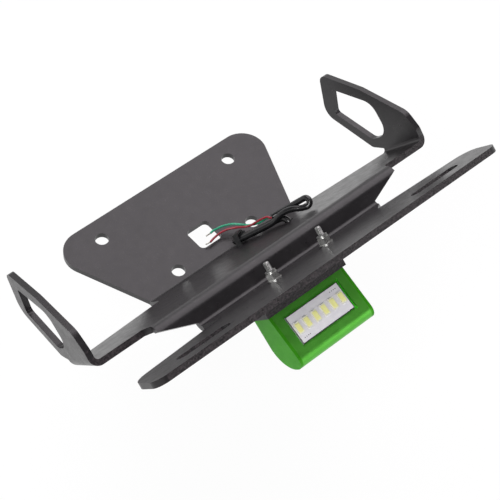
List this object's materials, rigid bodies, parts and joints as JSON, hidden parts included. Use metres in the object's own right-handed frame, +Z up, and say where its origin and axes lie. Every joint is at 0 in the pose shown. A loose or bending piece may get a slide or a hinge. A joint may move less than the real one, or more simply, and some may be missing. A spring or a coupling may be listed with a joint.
{
  "type": "tail tidy",
  "caption": "Folded black steel tail tidy with two indicator ears, a slotted number-plate bar and a green lamp with its tied cable.",
  "frame": {"origin": "on the main plate's lower face, midway between the two near fixing holes", "axes": "+X across the bike, to the right in the picture; +Y from the number-plate bar towards the main plate's wide edge; +Z up from the main plate as pictured"},
  "size_m": [0.2042, 0.1313, 0.0744],
  "materials": {
    "black_coat": "satin black powder coat",
    "black_plastic": "matt black moulding",
    "green_paint": "bright green anodised look, satin",
    "board": "white solder mask",
    "led_yellow": "yellow phosphor in a white frame",
    "zinc": "bright zinc plate",
    "cable_black": "satin black cable sheath",
    "tie_black": "black nylon and hard rubber",
    "wire_red": "red insulation",
    "wire_green": "green insulation",
    "tinned": "tinned copper strands"
  },
  "bodies": {
    "root": {"bracket": "black_coat", "lamp_mount": "black_plastic", "lamp_body": "green_paint", "lamp_end_left": "green_paint", "lamp_end_right": "green_paint", "lamp_pcb": "board", "led_1": "led_yellow", "led_2": "led_yellow", "led_3": "led_yellow", "led_4": "led_yellow", "led_5": "led_yellow", "led_6": "led_yellow", "screw_left": "zinc", "screw_right": "zinc", "washer_left": "zinc", "washer_right": "zinc", "nut_left": "zinc", "nut_right": "zinc", "cable_gland": "tie_black", "cable": "cable_black", "cable_hank": "cable_black", "cable_tie": "tie_black", "red_wire": "wire_red", "green_wire": "wire_green", "red_tip": "tinned", "green_tip": "tinned"}
  },
  "joints": []
}
